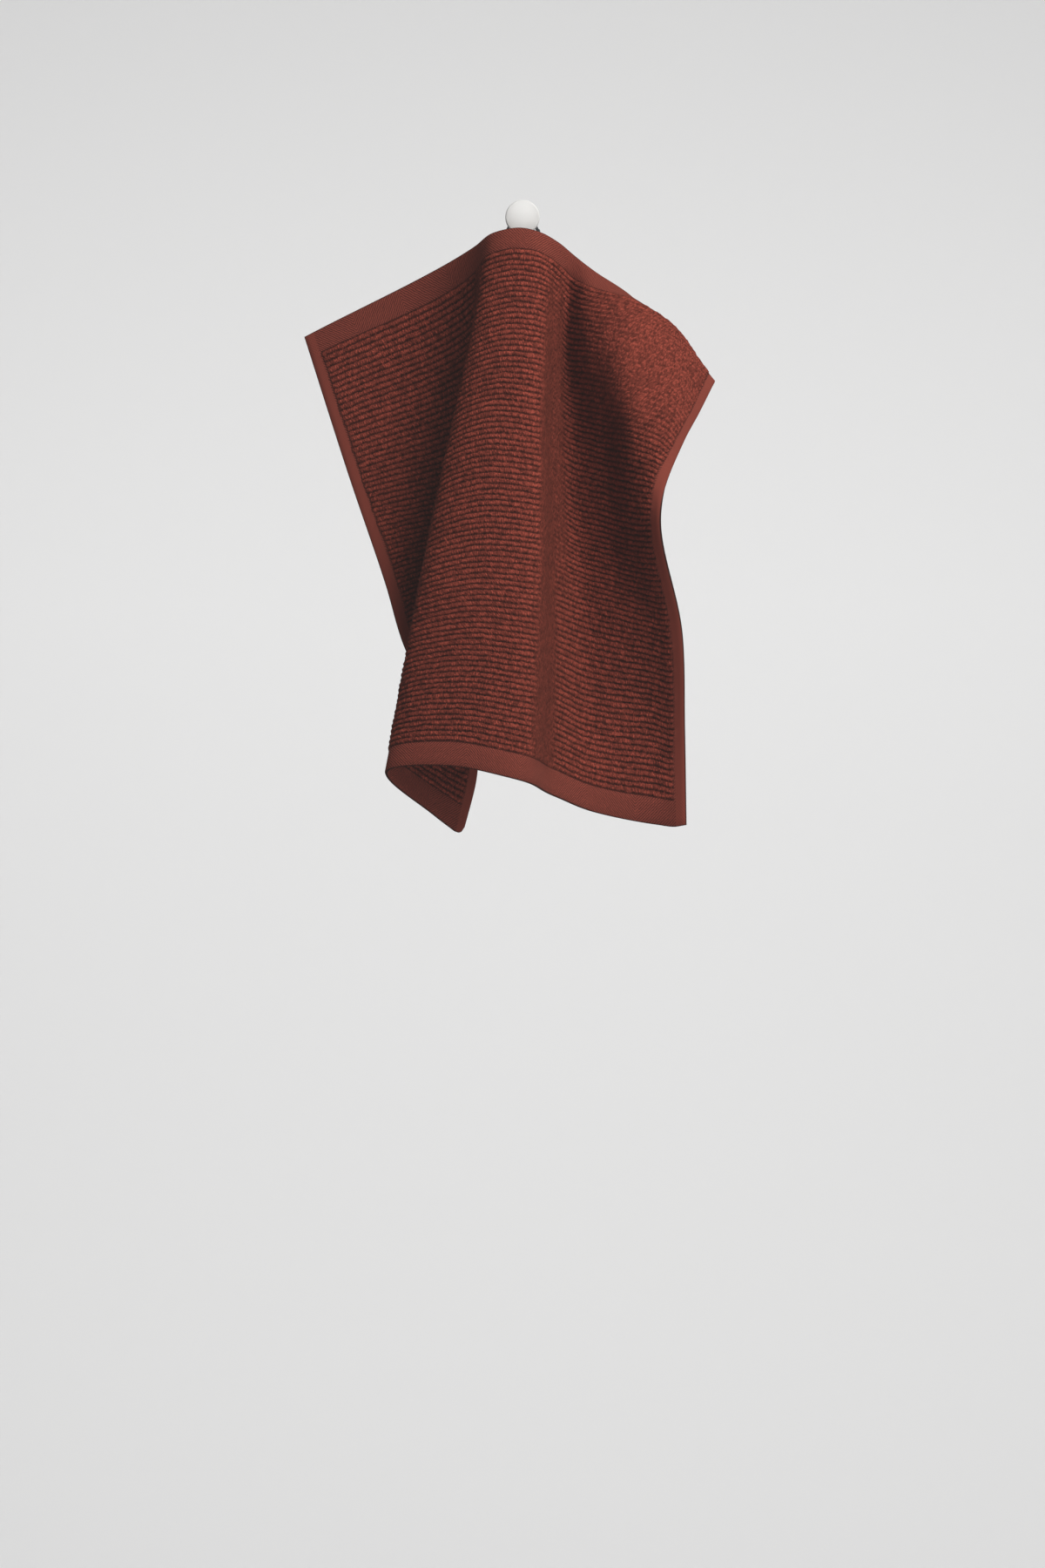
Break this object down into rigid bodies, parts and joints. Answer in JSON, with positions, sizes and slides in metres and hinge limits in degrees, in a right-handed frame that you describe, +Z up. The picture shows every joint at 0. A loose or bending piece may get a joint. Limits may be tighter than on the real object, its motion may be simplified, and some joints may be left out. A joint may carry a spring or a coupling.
{
  "type": "ribbed washcloth on a wall hook",
  "caption": "Ribbed cotton terry washcloth that hangs in loose folds by a cord loop from a round white wall hook.",
  "frame": {"origin": "centre of the hook's foot, on its back face, which lies on the wall", "axes": "+Z up, +Y into the wall, so hook and cloth stand out toward -Y; +X to the right as seen from the room"},
  "size_m": [0.224, 0.1169, 0.3413],
  "materials": {
    "terry": "matt ribbed cotton terry with flat woven hems, rust brown",
    "cord": "matt near-black cord",
    "white_enamel": "satin white paint"
  },
  "bodies": {
    "root": {"cloth": "terry", "hanging_loop": "cord", "wall_hook": "white_enamel"}
  },
  "joints": []
}
